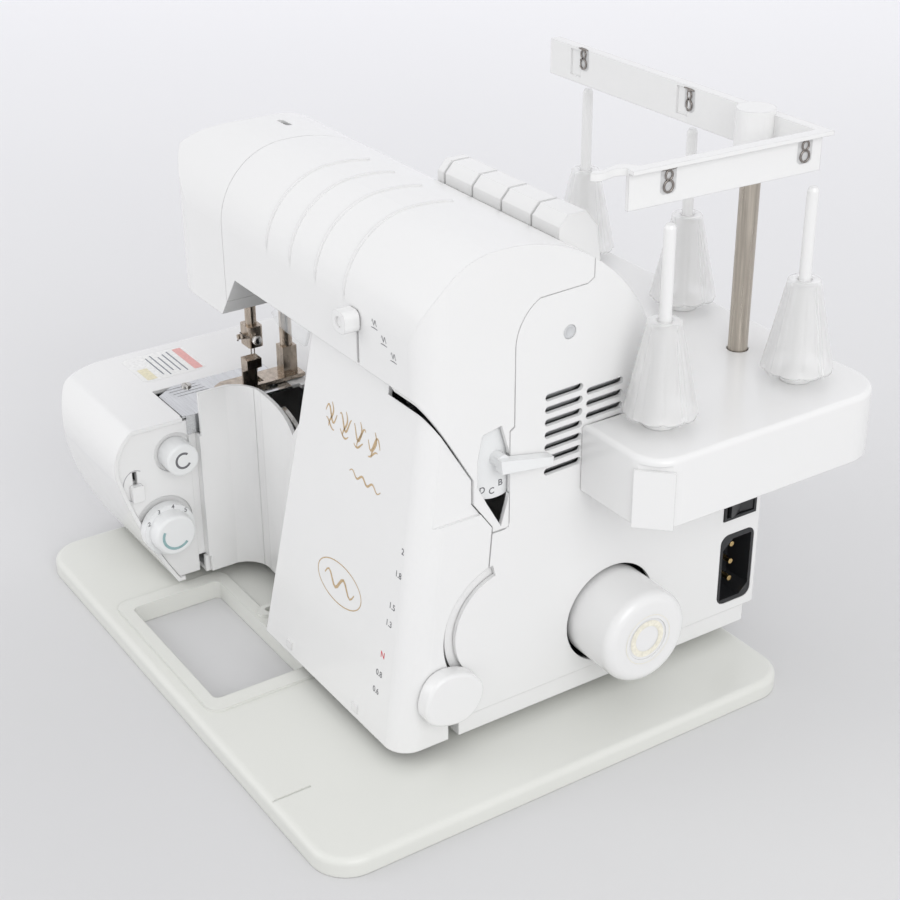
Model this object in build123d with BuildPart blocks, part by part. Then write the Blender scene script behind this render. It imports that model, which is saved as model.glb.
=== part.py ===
from build123d import *
import os
from math import sin, cos, radians

os.makedirs("parts", exist_ok=True)

# Serger (overlock sewing machine) standing on its dust tray.
# Frame: origin at the middle of the tray underside, +X to the handwheel, +Y to the rear, +Z up. Millimetres.

# ---------------------------------------------------------------- driving dimensions
wall = 2.5                      # moulded casing thickness
gap = 0.4                       # seam between casings
tray_w, tray_d, tray_h, tray_r = 384, 314, 11, 22
catch_x, catch_y, catch_w, catch_d = -30, -110, 116, 60       # scrap opening in the tray
pan_z, pan_t, case_z = 18, 3, 30                              # base pan underside, floor, casing bottom
right_x, column_x, bed_x = 142, -94, -207                     # right side, bed step, left end of the bed
bed_z, bed_back = 130, 100
head_x, arm_z, head_z = -160, 226, 198                        # left end of the head, undersides
arm_front, arm_back = -66, 38
face_seam = -75                                               # seam of the face cover
throat_x, throat_y = 13, 0                                    # sewing space behind the needle
wheel_y, wheel_z, wheel_r = 58, 62.3, 28.4                    # handwheel
motor_y = 118
needle_x, needle_y, needle_tip = -114, -32, 141
presser_y = -8
stand_z, stand_h, stand_x, stand_y = 150, 40, 202, 203        # spool stand
pins = [(165, 67), (164, 166), (49, 181), (-52, 182)]         # spool pins
pin_top, cone_low, cone_top = 302, 197, 250
post_x, post_y = 115, 167                                     # thread guide post
guide_low, guide_top = 308, 330
dial_y, dial_z, dial_r = -109.4, 59.9, 17                      # stitch length dial
knob_y, knob_z, knob_r = -98.8, 107.8, 10.6                     # stitch width knob
feed_y, feed_z, feed_slot_r = -14, 81, 38                     # differential feed lever pivot
sel_y, sel_z, sel_r = -20, 184, 24                            # stitch selector
hinge_y, hinge_z, hinge_r = -78, 25, 1.8                      # looper cover hinge
ridges = [-20, 6.5, 34.5, 64.5]                               # raised lines over the arm
feet = [(-150, -70), (112, -30), (-150, 80), (112, 140)]


def keep(builder, name):
    builder.part.label = name
    export_step(builder.part, f"parts/{name}.step")


# ---------------------------------------------------------------- shared outlines
# Side outline (Y, Z) of the column and arm, seen from the right.
with BuildSketch(Plane.YZ) as body_side:
    with BuildLine():
        Line((170.4, case_z), (-52, case_z))
        Line((-52, case_z), (-52, 60))
        ThreePointArc((-52, 60), (-58, 150), (-58, arm_z))
        Line((-58, arm_z), (arm_front, arm_z))
        front = Line((arm_front, arm_z), (arm_front, 256))
        crown = TangentArc((arm_front, 256), (-26, 299.5), tangent=front % 1)
        brow = TangentArc((-26, 299.5), (arm_back, 283), tangent=crown % 1)
        TangentArc((arm_back, 283), (84, 196), tangent=brow % 1)
        Polyline((84, 196), (84, stand_z), (164, stand_z), (170, 143), (171, 60), (170.4, case_z))
    make_face()
with BuildSketch(Plane.YZ) as body_side_in:
    add(body_side.sketch_local)
    offset(amount=-wall, kind=Kind.INTERSECTION, mode=Mode.REPLACE)

# Outline of the arm alone, closed underneath.
with BuildSketch(Plane.YZ) as arm_side:
    add(body_side.sketch_local)
    with Locations((-20, (arm_z + 400) / 2)):
        Rectangle(200, 400 - arm_z, mode=Mode.INTERSECT)
    with Locations((arm_back - 100, 300)):
        Rectangle(200, 200, mode=Mode.INTERSECT)
with BuildSketch(Plane.YZ) as head_side:
    add(arm_side.sketch_local)
    with Locations(((arm_front + arm_back) / 2, (head_z + arm_z) / 2)):
        Rectangle(arm_back - arm_front, arm_z - head_z + 0.02)

# Plan outline of the column (front right and rear right corners rounded).
with BuildSketch() as body_plan:
    with BuildLine():
        Polyline((column_x, arm_front), (right_x - 14, arm_front))
        TangentArc((right_x - 14, arm_front), (right_x, arm_front + 14), tangent=(1, 0))
        Line((right_x, arm_front + 14), (right_x, 168))
        TangentArc((right_x, 168), (right_x - 4, 172), tangent=(0, 1))
        Polyline((right_x - 4, 172), (column_x, 172), (column_x, arm_front))
    make_face()
with BuildSketch() as body_plan_in:
    add(body_plan.sketch_local)
    offset(amount=-wall, kind=Kind.INTERSECTION, mode=Mode.REPLACE)

# Column and arm as a solid, and its hollow.
with BuildPart() as body_solid:
    with BuildSketch(Plane.YZ.offset(column_x)):
        add(body_side.sketch_local)
    extrude(amount=right_x - column_x)
    with BuildSketch():
        add(body_plan.sketch_local)
    extrude(amount=400, mode=Mode.INTERSECT)
with BuildPart() as body_hollow:
    with BuildSketch(Plane.YZ.offset(column_x - 5)):
        add(body_side_in.sketch_local)
    extrude(amount=right_x - column_x + 10)
    with BuildSketch():
        add(body_plan_in.sketch_local)
        with Locations((column_x - 2, 52)):
            Rectangle(10, 235)
    extrude(amount=400, mode=Mode.INTERSECT)
with BuildPart() as below_case:
    with Locations((24, 56, case_z)):
        Box(230, 210, 8)
body_skin = body_solid.part - body_hollow.part - below_case.part

# Arm and head as a solid: the left end is rounded in plan and in front view.
with BuildSketch(Plane.XY) as head_plan:
    with BuildLine():
        Line((right_x, arm_back + 1), (head_x + 30, arm_back + 1))
        TangentArc((head_x + 30, arm_back + 1), (head_x, arm_back - 29), tangent=(-1, 0))
        Line((head_x, arm_back - 29), (head_x, arm_front + 40))
        TangentArc((head_x, arm_front + 40), (head_x + 40, arm_front), tangent=(0, -1))
        Line((head_x + 40, arm_front), (right_x - 14, arm_front))
        TangentArc((right_x - 14, arm_front), (right_x, arm_front + 14), tangent=(1, 0))
        Line((right_x, arm_front + 14), (right_x, arm_back + 1))
    make_face()
with BuildSketch(Plane.XZ) as head_view:
    with BuildLine():
        Polyline((head_x + 14, head_z), (face_seam - 7, head_z), (-62, arm_z), (right_x, arm_z), (right_x, 320))
        Line((right_x, 320), (head_x + 150, 320))
        Line((head_x + 150, 320), (head_x + 46, 301))
        TangentArc((head_x + 46, 301), (head_x, 255), tangent=(-1, -0.05))
        Line((head_x, 255), (head_x, head_z + 14))
        TangentArc((head_x, head_z + 14), (head_x + 14, head_z), tangent=(0, -1))
    make_face()


def arm_block(inset):
    with BuildPart() as block:
        with BuildSketch(Plane.YZ.offset(head_x)):
            add(head_side.sketch_local)
            if inset:
                offset(amount=-inset, kind=Kind.INTERSECTION, mode=Mode.REPLACE)
        extrude(amount=right_x - head_x)
        with BuildSketch():
            add(head_plan.sketch_local)
            if inset:
                offset(amount=-inset, kind=Kind.INTERSECTION, mode=Mode.REPLACE)
        extrude(amount=400, mode=Mode.INTERSECT)
        with BuildSketch(Plane.XZ.offset(100)):
            add(head_view.sketch_local)
            if inset:
                offset(amount=-inset, kind=Kind.INTERSECTION, mode=Mode.REPLACE)
        extrude(amount=-200, mode=Mode.INTERSECT)
    return block.part


arm_solid = arm_block(0)
arm_hollow = arm_block(wall)

# ---------------------------------------------------------------- tray and base
with BuildPart() as dust_tray:
    with BuildSketch():
        RectangleRounded(tray_w, tray_d, tray_r)
    extrude(amount=tray_h)
    fillet(dust_tray.faces().sort_by(Axis.Z)[-1].edges(), 4)
    with BuildSketch():
        RectangleRounded(tray_w - 8, tray_d - 8, tray_r - 4)
    extrude(amount=tray_h - 3, mode=Mode.SUBTRACT)
    with BuildSketch():                                   # stiffening ribs and centre pad
        with Locations((-110, 0), (60, 0)):
            Rectangle(3, tray_d - 4)
        with Locations((0, -62), (0, 62)):
            Rectangle(tray_w - 4, 3)
        Circle(24)
    extrude(amount=tray_h - 2)
    with BuildSketch(Plane.XY.offset(0)):                 # frame round the scrap opening
        with Locations((catch_x, catch_y)):
            RectangleRounded(catch_w + 22, catch_d + 16, 8)
    extrude(amount=tray_h + 1.6)
    with BuildSketch():
        with Locations((catch_x, catch_y)):
            RectangleRounded(catch_w, catch_d, 4)
    extrude(amount=tray_h + 5, mode=Mode.SUBTRACT)
    with BuildSketch(Plane.XY.offset(tray_h - 0.8)):      # groove in the front rim
        with Locations((126, -tray_d / 2 + 12)):
            Rectangle(1.2, 26)
    extrude(amount=3, mode=Mode.SUBTRACT)
    with BuildSketch(Plane.XY.offset(tray_h - 1)):        # small lug beside the opening
        with Locations((-36, -66)):
            SlotOverall(24, 12, rotation=90)
            SlotOverall(14, 5, rotation=90, mode=Mode.SUBTRACT)
    extrude(amount=5)
keep(dust_tray, "dust_tray")

with BuildPart() as rubber_feet:
    for x, y in feet:
        with BuildSketch(Plane.XY.offset(tray_h)):
            with Locations((x, y)):
                Circle(11)
        extrude(amount=pan_z - tray_h, taper=-4)
keep(rubber_feet, "rubber_feet")

screw_places = [(-180, -40), (-120, -80), (-100, 88), (40, -38), (60, 150), (-60, 150)]
with BuildPart() as base_pan:
    with BuildSketch(Plane.XY.offset(pan_z)) as pan_plan:
        with Locations((-146, -0.5)):                     # bed part
            RectangleRounded(104, 194, 12)
        with Locations(((141 - 94.8) / 2, 58.6)):         # column part
            Rectangle(141 + 94.8, 209)
    extrude(amount=pan_t)
    with BuildSketch(Plane.XY.offset(pan_z + pan_t)):
        add(pan_plan.sketch_local)
        offset(pan_plan.sketch_local, amount=-wall, mode=Mode.SUBTRACT)
    extrude(amount=case_z - pan_z - pan_t - gap)
    with BuildSketch(Plane.XY.offset(pan_z)):             # bosses that carry the chassis
        with Locations((-180, -30), (-180, 70), (120, -30), (90, 146)):
            Circle(6)
    extrude(amount=24 - pan_z)
    with BuildSketch(Plane.XY.offset(pan_z)):             # arms to the looper cover hinge
        with Locations((11, -54), (103, -54)):
            Rectangle(6, 24)
    extrude(amount=pan_t)
    for x in (11, 103):
        with BuildSketch(Plane.YZ.offset(x - 3)):
            with Locations((hinge_y, hinge_z)):
                Circle(3.6)
            with Locations((hinge_y + 8, hinge_z)):
                Rectangle(16, 6)
            with Locations((hinge_y + 14, (pan_z + hinge_z + 3) / 2)):
                Rectangle(5, hinge_z + 3 - pan_z)
        extrude(amount=6)
        with BuildSketch(Plane.YZ.offset(x - 3)):
            with Locations((hinge_y, hinge_z)):
                Circle(hinge_r + 0.05)
        extrude(amount=6, mode=Mode.SUBTRACT)
    with Locations(*[(x, y, pan_z) for x, y in screw_places]):
        Cylinder(2.1, 20, mode=Mode.SUBTRACT)
    with Locations((-98, -93, pan_z)):                    # corner left free for the knob panel
        Box(10, 16, 40, mode=Mode.SUBTRACT)
keep(base_pan, "base_pan")

with BuildPart() as cover_hinge_rod:
    with BuildSketch(Plane.YZ.offset(4)):
        with Locations((hinge_y, hinge_z)):
            Circle(hinge_r)
    extrude(amount=106)
keep(cover_hinge_rod, "cover_hinge_rod")

with BuildPart() as case_screws:
    for x, y in screw_places:
        with BuildSketch(Plane.XY.offset(pan_z - 2.2)):
            with Locations((x, y)):
                Circle(4)
        extrude(amount=2.2)
        with BuildSketch(Plane.XY.offset(pan_z)):
            with Locations((x, y)):
                Circle(2)
        extrude(amount=5)
keep(case_screws, "case_screws")

# ---------------------------------------------------------------- chassis: plates and lugs cast as one
with BuildPart() as chassis_frame:
    with BuildSketch(Plane.XY.offset(24)):                # floor plate
        with Locations((-32, 21.5)):
            Rectangle(320, 127)
        with Locations((60, 115)):
            Rectangle(120, 70)
    extrude(amount=4)
    with BuildSketch(Plane.YZ.offset(104)):               # right wall, holds the wheel shaft
        with Locations((20, 128)):
            Rectangle(110, 208)
        with Locations((10, 236)):
            Rectangle(40, 8)
        with Locations((8, 140)):
            RectangleRounded(60, 70, 8, mode=Mode.SUBTRACT)
    extrude(amount=6)
    with BuildSketch(Plane.YZ.offset(-60)):               # left wall
        with Locations((41, 128)):
            Rectangle(68, 208)
        with Locations((18, 236)):
            Rectangle(24, 8)
        with Locations((41, 150)):
            RectangleRounded(40, 70, 8, mode=Mode.SUBTRACT)
        with Locations((6, 62)):
            Circle(4.4, mode=Mode.SUBTRACT)
    extrude(amount=6)
    with BuildSketch(Plane.XY.offset(236)):               # arm beam
        with Locations((-15, 18)):
            Rectangle(250, 24)
    extrude(amount=4)
    with BuildSketch(Plane.XZ.offset(-12)):               # head plate
        with Locations((-112, 223)):
            Rectangle(56, 34)
    extrude(amount=6)
    for z in (208, 232):                                  # lugs for needle bar and presser bar
        with BuildSketch(Plane.XY.offset(z)):
            with Locations((needle_x, -15)):
                Rectangle(18, 50)
            with Locations((needle_x, needle_y)):
                Circle(5.5, mode=Mode.SUBTRACT)
            with Locations((needle_x, presser_y)):
                Circle(4.06, mode=Mode.SUBTRACT)
        extrude(amount=8)
    for x in (-140, 60):                                  # lugs for the rock shaft
        with BuildSketch(Plane.YZ.offset(x)):
            with Locations((20, 248)):
                Rectangle(16, 24)
            with Locations((20, 254)):
                Circle(4.06, mode=Mode.SUBTRACT)
        extrude(amount=6)
    with BuildSketch(Plane.YZ.offset(-52)):               # looper bracket
        with Locations((-12, 64)):
            Rectangle(60, 74)
        with Locations((-25, 84), (6, 62)):
            Circle(4.06, mode=Mode.SUBTRACT)
    extrude(amount=8)
    with Locations((0, wheel_y, wheel_z)):                # wheel shaft bores
        Cylinder(8, 400, rotation=(0, 90, 0), mode=Mode.SUBTRACT)
    with Locations((107, feed_y, feed_z)):                # feed lever and selector bores
        Cylinder(4.06, 20, rotation=(0, 90, 0), mode=Mode.SUBTRACT)
    with Locations((107, sel_y, sel_z)):
        Cylinder(4.06, 20, rotation=(0, 90, 0), mode=Mode.SUBTRACT)
keep(chassis_frame, "chassis_frame")

with BuildPart() as shaft_bushes:
    for x in (-60, 104):
        with BuildSketch(Plane.YZ.offset(x)):
            with Locations((wheel_y, wheel_z)):
                Circle(8)
                Circle(5.05, mode=Mode.SUBTRACT)
        extrude(amount=6)
keep(shaft_bushes, "shaft_bushes")

with BuildPart() as needle_bar_bushes:
    for z in (208, 232):
        with BuildSketch(Plane.XY.offset(z)):
            with Locations((needle_x, needle_y)):
                Circle(5.5)
                Circle(3.65, mode=Mode.SUBTRACT)
        extrude(amount=8)
keep(needle_bar_bushes, "needle_bar_bushes")

# ---------------------------------------------------------------- bed block on the left
with BuildSketch(Plane.YZ) as bed_side:
    with BuildLine():
        Line((bed_back, 16), (-104, 16))
        flank = ThreePointArc((-104, 16), (-124.5, 57), (-138, 98))
        TangentArc((-138, 98), (-126, bed_z), tangent=flank % 1)
        Polyline((-126, bed_z), (bed_back, bed_z), (bed_back, 16))
    make_face()
with BuildSketch() as bed_plan:
    with BuildLine():
        Line((-95.5, -142), (bed_x + 46, -142))
        TangentArc((bed_x + 46, -142), (bed_x, -96), tangent=(-1, 0))
        Line((bed_x, -96), (bed_x, bed_back - 20))
        TangentArc((bed_x, bed_back - 20), (bed_x + 20, bed_back), tangent=(0, 1))
        Polyline((bed_x + 20, bed_back), (-95.5, bed_back), (-95.5, -142))
    make_face()
plate_outline = [(-131, -91), (-140, -78), (-140, -14), (-97, -14), (-97, -91)]
with BuildPart() as bed_hollow:
    with BuildSketch(Plane.YZ.offset(bed_x)):
        add(bed_side.sketch_local)
        offset(amount=-wall, kind=Kind.INTERSECTION, mode=Mode.REPLACE)
    extrude(amount=-90 - bed_x)
    with BuildSketch():
        add(bed_plan.sketch_local)
        offset(amount=-wall, kind=Kind.INTERSECTION, mode=Mode.REPLACE)
        with Locations((-95, -22)):
            Rectangle(12, 235)
    extrude(amount=200, mode=Mode.INTERSECT)
    with BuildSketch():                                   # open underneath
        with Locations((-146, 0)):
            Rectangle(112, 198)
    extrude(amount=30)
with BuildPart() as bed_casing:
    with BuildSketch(Plane.YZ.offset(bed_x)):
        add(bed_side.sketch_local)
    extrude(amount=-95.5 - bed_x)
    with BuildSketch():
        add(bed_plan.sketch_local)
    extrude(amount=200, mode=Mode.INTERSECT)
    fillet(bed_casing.faces().sort_by(Axis.Z)[-1].edges().filter_by(lambda e: e.center().X < -96), 5)
    add(bed_hollow.part, mode=Mode.SUBTRACT)
    with BuildSketch(Plane.XY.offset(bed_z - 8)):         # opening for the needle plate
        with Locations((-117, -52.5)):
            Rectangle(46.8, 77.8)
    extrude(amount=20, mode=Mode.SUBTRACT)
    with BuildSketch(Plane.XY.offset(bed_z - wall)):
        with Locations((-95, -50)):
            Rectangle(8, 84)
    extrude(amount=20, mode=Mode.SUBTRACT)
keep(bed_casing, "bed_casing")

# Skin shared by the looper cover and the fixed strip at its left end.
# Levels: height, front Y of the flat part, X where the flat part starts.
cover_levels = [(19, -86, -10), (arm_z - gap, -60, 21)]


def cover_block(inset):
    with BuildPart() as block:
        for z, y, x in cover_levels:
            left, back = (column_x + 0.8, 0) if not inset else (column_x - 12, 4)
            edge = column_x + 3.2 if not inset else column_x + 0.4
            with BuildSketch(Plane.XY.offset(z)):
                with BuildLine():
                    Line((edge, -82 + inset * 7), (edge, -64))
                    ThreePointArc((edge, -64), (-85 - inset / 2, -54 + inset / 2), (-70, -50 + inset))
                    TangentArc((-70, -50 + inset), (x, y + inset), tangent=(1, 0))
                    Line((x, y + inset), (right_x - 14, y + inset))
                    TangentArc((right_x - 14, y + inset), (right_x - inset, y + 14), tangent=(1, 0))
                    Polyline((right_x - inset, y + 14), (right_x - inset, back), (left, back),
                             (left, -82 + inset * 7), (edge, -82 + inset * 7))
                make_face()
        loft(ruled=True)
    return block.part


with BuildPart() as cover_skin:
    add(cover_block(0))
    add(cover_block(wall), mode=Mode.SUBTRACT)
    with BuildSketch(Plane.XZ.offset(-20)):               # sloping top of the left flank
        with BuildLine():
            Polyline((-120, 146), (-9, 146), (12, 164), (throat_x + 8, 240), (-120, 240), close=True)
        make_face()
    extrude(amount=150, mode=Mode.SUBTRACT)
strip_x = -78.7                                           # right edge of the fixed strip beside the knobs
flank_strip = cover_skin.part & Pos(strip_x - gap / 2 - 50, 0, 100) * Box(100, 300, 300)

with BuildPart() as knob_panel:
    with BuildSketch(Plane.YZ.offset(-101)):
        add(bed_side.sketch_local)
        offset(amount=-wall - 0.3, kind=Kind.INTERSECTION, mode=Mode.REPLACE)
        with Locations((12, 80)):
            Rectangle(200, 200, mode=Mode.SUBTRACT)
    extrude(amount=4)
    with Locations((-97, dial_y, dial_z)):                # recesses behind the dials
        Cylinder(dial_r + 2.5, 3, rotation=(0, 90, 0), mode=Mode.SUBTRACT)
        Cylinder(4.06, 30, rotation=(0, 90, 0), mode=Mode.SUBTRACT)
    with Locations((-97, knob_y, knob_z)):
        Cylinder(knob_r + 2.5, 3, rotation=(0, 90, 0), mode=Mode.SUBTRACT)
        Cylinder(3.06, 30, rotation=(0, 90, 0), mode=Mode.SUBTRACT)
    with Locations((-99, -126, 92)):                      # slot for the finger slider
        Box(10, 3, 20, mode=Mode.SUBTRACT)
    add(flank_strip)                                      # strip beside the knobs, and the wall that carries it
    with Locations((-99.1, -84.8, 73.6)):
        Box(3.8, 6.6, 86.8)
    with Locations((-95.9, -82.6, 73.6)):
        Box(10.2, 1.8, 86.8)
keep(knob_panel, "knob_panel")

with BuildPart() as needle_plate:
    with BuildSketch(Plane.XY.offset(bed_z - 1.2)):
        with BuildLine():
            Polyline(*plate_outline, close=True)
        make_face()
        with Locations((needle_x, needle_y)):             # needle slot
            SlotOverall(12, 4, mode=Mode.SUBTRACT)
        for x in (-124, -104):                            # feed dog slots
            with Locations((x, -36)):
                SlotOverall(30, 5.4, rotation=90, mode=Mode.SUBTRACT)
        with Locations((-99.6, -45)):                     # knife notch
            Rectangle(6, 22, mode=Mode.SUBTRACT)
    extrude(amount=1.6)
    with BuildSketch(Plane.YZ.offset(-97)):               # side bent down
        with Locations((-74, bed_z - 6)):
            Rectangle(30, 12.8)
    extrude(amount=1.2)
    with Locations((-135, -70, bed_z), (-135, -22, bed_z)):
        Cylinder(1.6, 10, mode=Mode.SUBTRACT)
keep(needle_plate, "needle_plate")

with BuildPart() as plate_screws:
    for y in (-70, -22):
        with Locations((-135, y, bed_z + 0.4)):
            Cylinder(3.2, 1.2, align=(Align.CENTER, Align.CENTER, Align.MIN))
        with Locations((-135, y, bed_z - 6)):
            Cylinder(1.5, 6.4, align=(Align.CENTER, Align.CENTER, Align.MIN))
        with Locations((-135, y, bed_z + 1.6)):
            Box(5, 0.8, 1, mode=Mode.SUBTRACT)
keep(plate_screws, "plate_screws")

with BuildPart() as lower_knife:
    with BuildSketch(Plane.XZ.offset(38)):
        with BuildLine():
            Polyline((-98.4, 104), (-98.4, 129.6), (-97.2, 130), (-97.2, 104), close=True)
        make_face()
    extrude(amount=14)
    with Locations((-97.8, -45, 106)):
        Box(6, 14, 5)
keep(lower_knife, "lower_knife")

# ---------------------------------------------------------------- looper cover: flat front, hollow left flank
with BuildPart() as front_cover:
    add(cover_skin.part)
    with Locations((strip_x + gap / 2 - 50, 0, 100)):     # ends beside the fixed strip
        Box(100, 300, 300, mode=Mode.SUBTRACT)
    with BuildSketch(Plane.YZ.offset(100)):               # seam on the right side
        with BuildLine():
            Polyline((-45.2, 52.9), (-53.4, 44), (-53.4, 0), (20, 0), (20, 240), (-67, 240), (-67, 226),
                     (-36.8, 176), (-36.8, 162), (-24.8, 145), (-27, 120.9))
            ThreePointArc((-27, 120.9), (-52.1, 98.7), (-45.2, 52.9))
        make_face()
    extrude(amount=60, mode=Mode.SUBTRACT)
    with Locations((right_x, -43.5, 185)):                # thumb grip on the side
        Box(3.2, 35, 60, mode=Mode.SUBTRACT)
    for x in (19, 95):                                    # hinge knuckles
        with BuildSketch(Plane.YZ.offset(x - 3)):
            with Locations((hinge_y, hinge_z)):
                Circle(3.6)
            with Locations((hinge_y - 4, hinge_z)):
                Rectangle(8, 5)
        extrude(amount=6)
        with BuildSketch(Plane.YZ.offset(x - 3)):
            with Locations((hinge_y, hinge_z)):
                Circle(hinge_r + 0.05)
        extrude(amount=6, mode=Mode.SUBTRACT)
keep(front_cover, "front_cover")

# ---------------------------------------------------------------- right side casing
vent_rows = [(20.8, 7, 211.8), (47.8, 7, 208.4)]
with BuildPart() as side_casing:
    add(body_skin)
    with BuildSketch(Plane.XY.offset(-5)):                # right-hand part of the skin
        with Locations((121.2, 60)):
            Rectangle(60, 300)
    extrude(amount=400, mode=Mode.INTERSECT)
    with BuildSketch(Plane.YZ.offset(60)):                # cut back along the cover and arm seams
        with BuildLine():
            Polyline((-11 + gap, 0), (-52.6, 0), (-52.6, 43.6), (-43.7, 54.2))
            ThreePointArc((-43.7, 54.2), (-50.3, 97.9), (-26.4, 119))
            Polyline((-26.4, 119), (-24, 145), (-36, 162), (-36, 176), (-30, 187), (-11 + gap, 200),
                     (-11 + gap, 244))
            TangentArc((-11 + gap, 244), (4, 268.6), tangent=(0, 1))
            Polyline((4, 268.6), (34, 269.6), (38.4, 272), (38.4, 330), (200, 330), (200, 0), (-11 + gap, 0))
        make_face()
    extrude(amount=120, mode=Mode.INTERSECT)
    with Locations((right_x, wheel_y, wheel_z)):          # handwheel opening
        Cylinder(31, 20, rotation=(0, 90, 0), mode=Mode.SUBTRACT)
    with BuildSketch(Plane.YZ.offset(right_x - 10)):
        for y0, count, z0 in vent_rows:                   # ventilation slots
            for i in range(count):
                with Locations((y0, z0 - 7.3 * i)):
                    SlotOverall(24.4, 4.2, rotation=2, mode=Mode.ADD)
        with Locations((153.5, 102.4)):                   # switch and inlet windows
            Rectangle(25.4, 16.4)
        with Locations((153.5, 60)):
            RectangleRounded(26.4, 48.4, 6)
        with Locations((-27, 172)):                       # selector window
            RectangleRounded(27, 62, 4)
    extrude(amount=30, mode=Mode.SUBTRACT)
    with Locations((right_x, 23.3, 245.5)):               # round access hole
        Cylinder(4, 12, rotation=(0, 90, 0), mode=Mode.SUBTRACT)
    with BuildSketch(Plane.YZ.offset(right_x - 10)):      # arc slot of the feed lever
        with Locations((feed_y, feed_z)):
            Circle(feed_slot_r + 3.5)
            Circle(feed_slot_r - 3.5, mode=Mode.SUBTRACT)
        with BuildLine():
            far = 70
            Polyline((feed_y, feed_z), (feed_y + far * cos(radians(104)), feed_z + far * sin(radians(104))),
                     (feed_y - far, feed_z + far), (feed_y - far, feed_z - far),
                     (feed_y + far * cos(radians(228)), feed_z + far * sin(radians(228))), close=True)
        make_face(mode=Mode.INTERSECT)
    extrude(amount=30, mode=Mode.SUBTRACT)
    with Locations((106, -56, 80)):                       # front wall left out behind the looper cover
        Box(52, 13, 60, mode=Mode.SUBTRACT)
keep(side_casing, "side_casing")

# ---------------------------------------------------------------- rear casing
with BuildPart() as rear_casing:
    add(body_skin)
    with BuildSketch(Plane.XY.offset(-5)):
        with Locations(((column_x + 90.8) / 2 - 5, 60)):
            Rectangle(90.8 - column_x + 10, 300)
    extrude(amount=400, mode=Mode.INTERSECT)
    with BuildSketch(Plane.YZ.offset(column_x - 5)):
        with BuildLine():
            Polyline((38.4, 240), (38.4, 330), (200, 330), (200, 0), (50, 0), (50, 240), close=True)
        make_face()
    extrude(amount=200, mode=Mode.INTERSECT)
    with Locations((post_x, post_y, stand_z)):
        Cylinder(8, 10, mode=Mode.SUBTRACT)
keep(rear_casing, "rear_casing")

# ---------------------------------------------------------------- throat cover: walls round the sewing space
with BuildPart() as throat_cover:
    with BuildSketch(Plane.YZ.offset(column_x)):          # left end wall of the column
        add(body_side_in.sketch_local)
        with Locations((-100 + throat_y, 200)):
            Rectangle(200, 400, mode=Mode.SUBTRACT)
        with Locations((20, 297.6)):
            Rectangle(38 * 2, 200, mode=Mode.SUBTRACT)
        offset(amount=-0.3, kind=Kind.INTERSECTION, mode=Mode.REPLACE)
        with Locations((42, 75)):
            Rectangle(70, 80, mode=Mode.SUBTRACT)
    extrude(amount=2)
    with BuildSketch(Plane.XY.offset(bed_z + gap)):
        with BuildLine():
            Polyline((column_x, throat_y), (throat_x, throat_y), (throat_x, -50), (throat_x + 2, -50),
                     (throat_x + 2, throat_y + 2), (column_x, throat_y + 2), close=True)
        make_face()
    extrude(amount=arm_z - bed_z - 2 * gap)
    with Locations((-80, -5, arm_z)):                     # clear of the head
        Box(40, 60, 2 * (arm_z - head_z + gap), mode=Mode.SUBTRACT)
keep(throat_cover, "throat_cover")

# ---------------------------------------------------------------- arm and face covers
arm_skin = arm_solid - arm_hollow
# Plate of the arm cover that reaches down around the selector.
with BuildPart() as selector_plate:
    with BuildSketch(Plane.XY.offset(140)):
        add(body_plan.sketch_local)
        add(body_plan_in.sketch_local, mode=Mode.SUBTRACT)
    extrude(amount=88)
    with BuildSketch(Plane.YZ.offset(110)):
        with BuildLine():
            Polyline((-66.4, arm_z + 1), (-36.3, 176.3), (-36.3, 162.1), (-24.3, 145.1), (-24.3, 142), (-14, 142),
                     (-14, 199), (-11.1, 201), (-11.1, arm_z + 1), close=True)
        make_face()
        with BuildLine():                                 # leaf-shaped opening over the disc
            Polyline((-31, 201), (-34, 187), (-34, 172), (-28, 160), (-19, 144), (-15, 158), (-12, 172),
                     (-14.5, 188), (-19, 203.5), close=True)
        make_face(mode=Mode.SUBTRACT)
    extrude(amount=40, mode=Mode.INTERSECT)

with BuildPart() as arm_cover:
    add(arm_skin)
    with BuildSketch(Plane.XY.offset(190)):
        with Locations(((face_seam + gap + 160) / 2, 0)):
            Rectangle(160 - face_seam - gap, 300)
    extrude(amount=200, mode=Mode.INTERSECT)
    for x in ridges:                                      # raised lines
        with BuildSketch(Plane.YZ.offset(x)):
            add(arm_side.sketch_local)
            offset(amount=0.8)
            add(arm_side.sketch_local, mode=Mode.SUBTRACT)
            with Locations((-32, 276)):
                Rectangle(68, 64, mode=Mode.INTERSECT)
        extrude(amount=1.4)
    with BuildSketch(Plane.YZ.offset(60)):                # right end cut along the side seam
        with BuildLine():
            Polyline((-11, 150), (-11, 244))
            TangentArc((-11, 244), (4, 269), tangent=(0, 1))
            Polyline((4, 269), (34, 270), (38, 272.4), (60, 272.4), (60, 150), (-11, 150))
        make_face()
    extrude(amount=120, mode=Mode.SUBTRACT)
    add(selector_plate.part)
    with Locations((75, 0, arm_z)):                       # open to the column below
        Box(2 * (75 - throat_x - 4), 110, 30, mode=Mode.SUBTRACT)
    with Locations((-40, 24, arm_z)):
        Box(140, 40, 30, mode=Mode.SUBTRACT)
    with Locations((78.5, arm_front, 242)):               # slot of the mode lever
        Box(2.4, 20, 30, mode=Mode.SUBTRACT)
keep(arm_cover, "arm_cover")

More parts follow.
